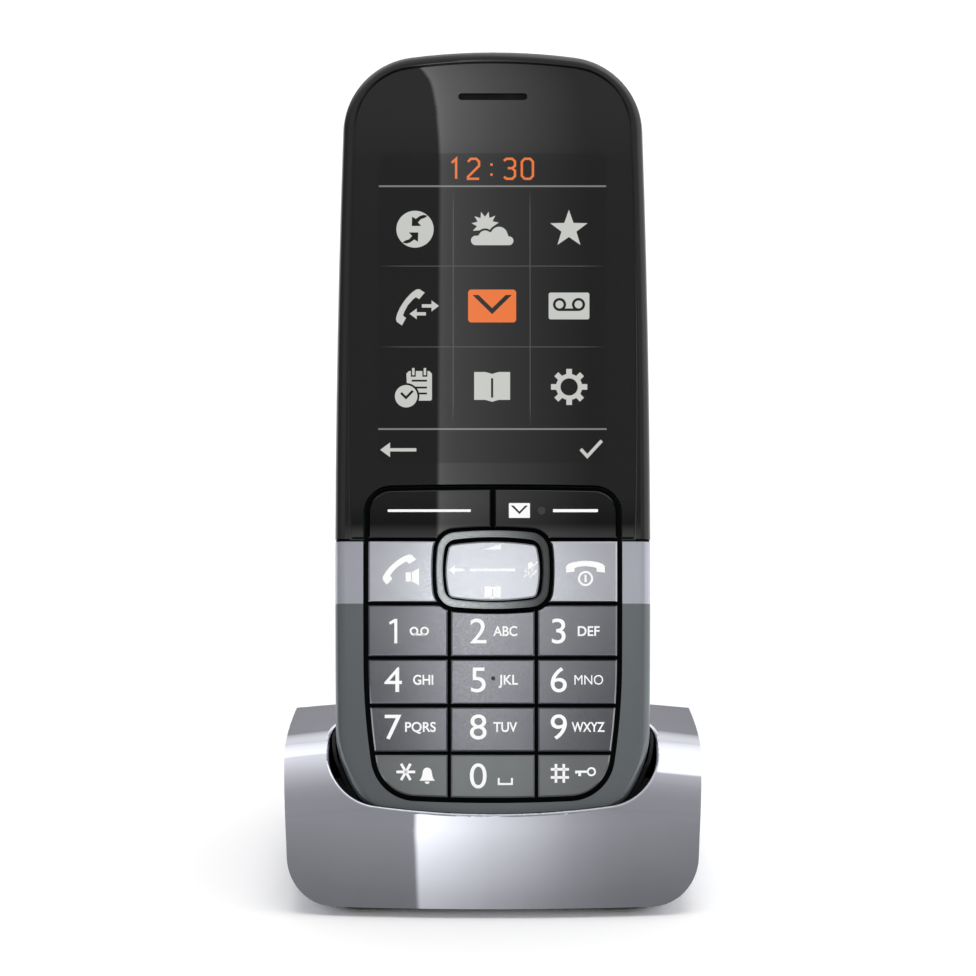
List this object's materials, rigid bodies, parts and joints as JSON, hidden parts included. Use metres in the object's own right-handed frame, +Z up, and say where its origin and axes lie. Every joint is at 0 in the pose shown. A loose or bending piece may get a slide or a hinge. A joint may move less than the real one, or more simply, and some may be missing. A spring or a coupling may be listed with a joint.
{
  "type": "cordless telephone with charging cradle",
  "caption": "Slim cordless telephone handset with colour display and number keypad, standing leaned back in a silver desktop charging cradle.",
  "frame": {"origin": "on the desk under the middle of the whole object, cradle and seated handset together", "axes": "+Z up, -Y to the front where the display and keypad face, +X to the right seen from the front"},
  "size_m": [0.0634, 0.065, 0.1212],
  "materials": {
    "black_gloss_case": "polished black plastic",
    "window": "polished smoked window",
    "silver_frame": "satin silver paint on a metal frame",
    "black_case": "fine-grained black plastic",
    "contact_metal": "gold-plated contact",
    "display_glass": "display glass",
    "white_plastic": "white light-guide plastic",
    "grille_metal": "black woven mesh",
    "capsule": "dark capsule with a metal can",
    "steel": "bright steel",
    "circuit_board": "green solder mask",
    "battery_wrap": "cell in a grey sleeve",
    "polished_ring": "polished metal-coated plastic",
    "key_web": "soft key web",
    "select_cap": "pale silver satin cap",
    "light_guide": "smoked light guide",
    "silver_key": "satin silver key",
    "grey_key": "satin grey key",
    "black_key": "polished black key",
    "silver_cradle": "glossy silver paint",
    "black_inner": "matt black plastic",
    "black_base": "matt black plastic",
    "rubber_foot": "soft rubber",
    "ballast": "plain iron weight"
  },
  "bodies": {
    "cradle": {"cradle_cover": "silver_cradle", "cradle_liner": "black_inner", "cradle_base": "black_base", "cradle_feet": "rubber_foot", "cradle_screws": "steel", "cradle_ballast": "ballast", "contact_carrier": "black_inner", "contact_board": "circuit_board", "power_inlet": "black_base", "inlet_pins": "contact_metal", "pin_spring_left": "steel", "pin_spring_right": "steel"},
    "handset": {"upper_bezel": "black_gloss_case", "lower_frame": "silver_frame", "back_shell": "black_case", "handset_charge_pads": "contact_metal", "display_window": "window", "lcd_panel": "display_glass", "backlight": "white_plastic", "earpiece_mesh": "grille_metal", "earpiece_receiver": "capsule", "microphone": "capsule", "loudspeaker": "capsule", "vibration_motor": "steel", "keypad_plate": "black_inner", "dome_sheet": "steel", "main_board": "circuit_board", "board_screws": "steel", "rf_shield": "steel", "antenna": "contact_metal", "battery": "battery_wrap", "battery_contacts": "contact_metal"},
    "battery_cover": {"battery_cover": "black_case"},
    "key_1": {"key_1": "grey_key"},
    "key_2": {"key_2": "grey_key"},
    "key_3": {"key_3": "grey_key"},
    "key_4": {"key_4": "grey_key"},
    "key_5": {"key_5": "grey_key"},
    "key_6": {"key_6": "grey_key"},
    "key_7": {"key_7": "grey_key"},
    "key_8": {"key_8": "grey_key"},
    "key_9": {"key_9": "grey_key"},
    "key_star": {"key_star": "grey_key"},
    "key_0": {"key_0": "grey_key"},
    "key_hash": {"key_hash": "grey_key"},
    "call_key": {"call_key": "silver_key"},
    "end_key": {"end_key": "silver_key"},
    "softkey_left": {"softkey_left": "black_key"},
    "softkey_right": {"softkey_right": "black_key", "message_led": "light_guide"},
    "nav_rocker": {"nav_rocker_frame": "key_web"},
    "nav_ring": {"nav_ring": "polished_ring"},
    "nav_select": {"nav_select_key": "select_cap"},
    "charge_pin_left": {"charge_pin_left": "contact_metal"},
    "charge_pin_right": {"charge_pin_right": "contact_metal"}
  },
  "joints": [
    {"name": "handset_lift", "type": "slide", "parent": "cradle", "child": "handset", "axis": [0, 0.3907, 0.9205], "range_m": [0, 0.06]},
    {"name": "battery_cover_pull", "type": "slide", "parent": "handset", "child": "battery_cover", "axis": [0, 0.9205, -0.3907], "range_m": [0, 0.015]},
    {"name": "key_1_press", "type": "slide", "parent": "handset", "child": "key_1", "axis": [0, 0.9205, -0.3907], "range_m": [0, 0.0005], "stiffness_N_per_m": 400, "springref_m": -0.0005},
    {"name": "key_2_press", "type": "slide", "parent": "handset", "child": "key_2", "axis": [0, 0.9205, -0.3907], "range_m": [0, 0.0005], "stiffness_N_per_m": 400, "springref_m": -0.0005},
    {"name": "key_3_press", "type": "slide", "parent": "handset", "child": "key_3", "axis": [0, 0.9205, -0.3907], "range_m": [0, 0.0005], "stiffness_N_per_m": 400, "springref_m": -0.0005},
    {"name": "key_4_press", "type": "slide", "parent": "handset", "child": "key_4", "axis": [0, 0.9205, -0.3907], "range_m": [0, 0.0005], "stiffness_N_per_m": 400, "springref_m": -0.0005},
    {"name": "key_5_press", "type": "slide", "parent": "handset", "child": "key_5", "axis": [0, 0.9205, -0.3907], "range_m": [0, 0.0005], "stiffness_N_per_m": 400, "springref_m": -0.0005},
    {"name": "key_6_press", "type": "slide", "parent": "handset", "child": "key_6", "axis": [0, 0.9205, -0.3907], "range_m": [0, 0.0005], "stiffness_N_per_m": 400, "springref_m": -0.0005},
    {"name": "key_7_press", "type": "slide", "parent": "handset", "child": "key_7", "axis": [0, 0.9205, -0.3907], "range_m": [0, 0.0005], "stiffness_N_per_m": 400, "springref_m": -0.0005},
    {"name": "key_8_press", "type": "slide", "parent": "handset", "child": "key_8", "axis": [0, 0.9205, -0.3907], "range_m": [0, 0.0005], "stiffness_N_per_m": 400, "springref_m": -0.0005},
    {"name": "key_9_press", "type": "slide", "parent": "handset", "child": "key_9", "axis": [0, 0.9205, -0.3907], "range_m": [0, 0.0005], "stiffness_N_per_m": 400, "springref_m": -0.0005},
    {"name": "key_star_press", "type": "slide", "parent": "handset", "child": "key_star", "axis": [0, 0.9205, -0.3907], "range_m": [0, 0.0005], "stiffness_N_per_m": 400, "springref_m": -0.0005},
    {"name": "key_0_press", "type": "slide", "parent": "handset", "child": "key_0", "axis": [0, 0.9205, -0.3907], "range_m": [0, 0.0005], "stiffness_N_per_m": 400, "springref_m": -0.0005},
    {"name": "key_hash_press", "type": "slide", "parent": "handset", "child": "key_hash", "axis": [0, 0.9205, -0.3907], "range_m": [0, 0.0005], "stiffness_N_per_m": 400, "springref_m": -0.0005},
    {"name": "call_key_press", "type": "slide", "parent": "handset", "child": "call_key", "axis": [0, 0.9205, -0.3907], "range_m": [0, 0.0005], "stiffness_N_per_m": 400, "springref_m": -0.0005},
    {"name": "end_key_press", "type": "slide", "parent": "handset", "child": "end_key", "axis": [0, 0.9205, -0.3907], "range_m": [0, 0.0005], "stiffness_N_per_m": 400, "springref_m": -0.0005},
    {"name": "softkey_left_press", "type": "slide", "parent": "handset", "child": "softkey_left", "axis": [0, 0.9205, -0.3907], "range_m": [0, 0.0005], "stiffness_N_per_m": 400, "springref_m": -0.0005},
    {"name": "softkey_right_press", "type": "slide", "parent": "handset", "child": "softkey_right", "axis": [0, 0.9205, -0.3907], "range_m": [0, 0.0005], "stiffness_N_per_m": 400, "springref_m": -0.0005},
    {"name": "nav_tilt_up_down", "type": "hinge", "parent": "handset", "child": "nav_rocker", "pos_m": [0, -0.00921, 0.04735], "axis": [1, 0, 0], "range_deg": [-4, 4], "stiffness_Nm_per_rad": 0.02},
    {"name": "nav_tilt_left_right", "type": "hinge", "parent": "nav_rocker", "child": "nav_ring", "pos_m": [0, -0.00921, 0.04735], "axis": [0, 0.3907, 0.9205], "range_deg": [-3, 3], "stiffness_Nm_per_rad": 0.02},
    {"name": "nav_select_press", "type": "slide", "parent": "handset", "child": "nav_select", "axis": [0, 0.9205, -0.3907], "range_m": [0, 0.0005], "stiffness_N_per_m": 400, "springref_m": -0.0005},
    {"name": "charge_pin_left_press", "type": "slide", "parent": "cradle", "child": "charge_pin_left", "axis": [0, -0.3907, -0.9205], "range_m": [0, 0.0006], "stiffness_N_per_m": 300, "springref_m": -0.0006, "deforming": ["pin_spring_left"]},
    {"name": "charge_pin_right_press", "type": "slide", "parent": "cradle", "child": "charge_pin_right", "axis": [0, -0.3907, -0.9205], "range_m": [0, 0.0006], "stiffness_N_per_m": 300, "springref_m": -0.0006, "deforming": ["pin_spring_right"]}
  ]
}
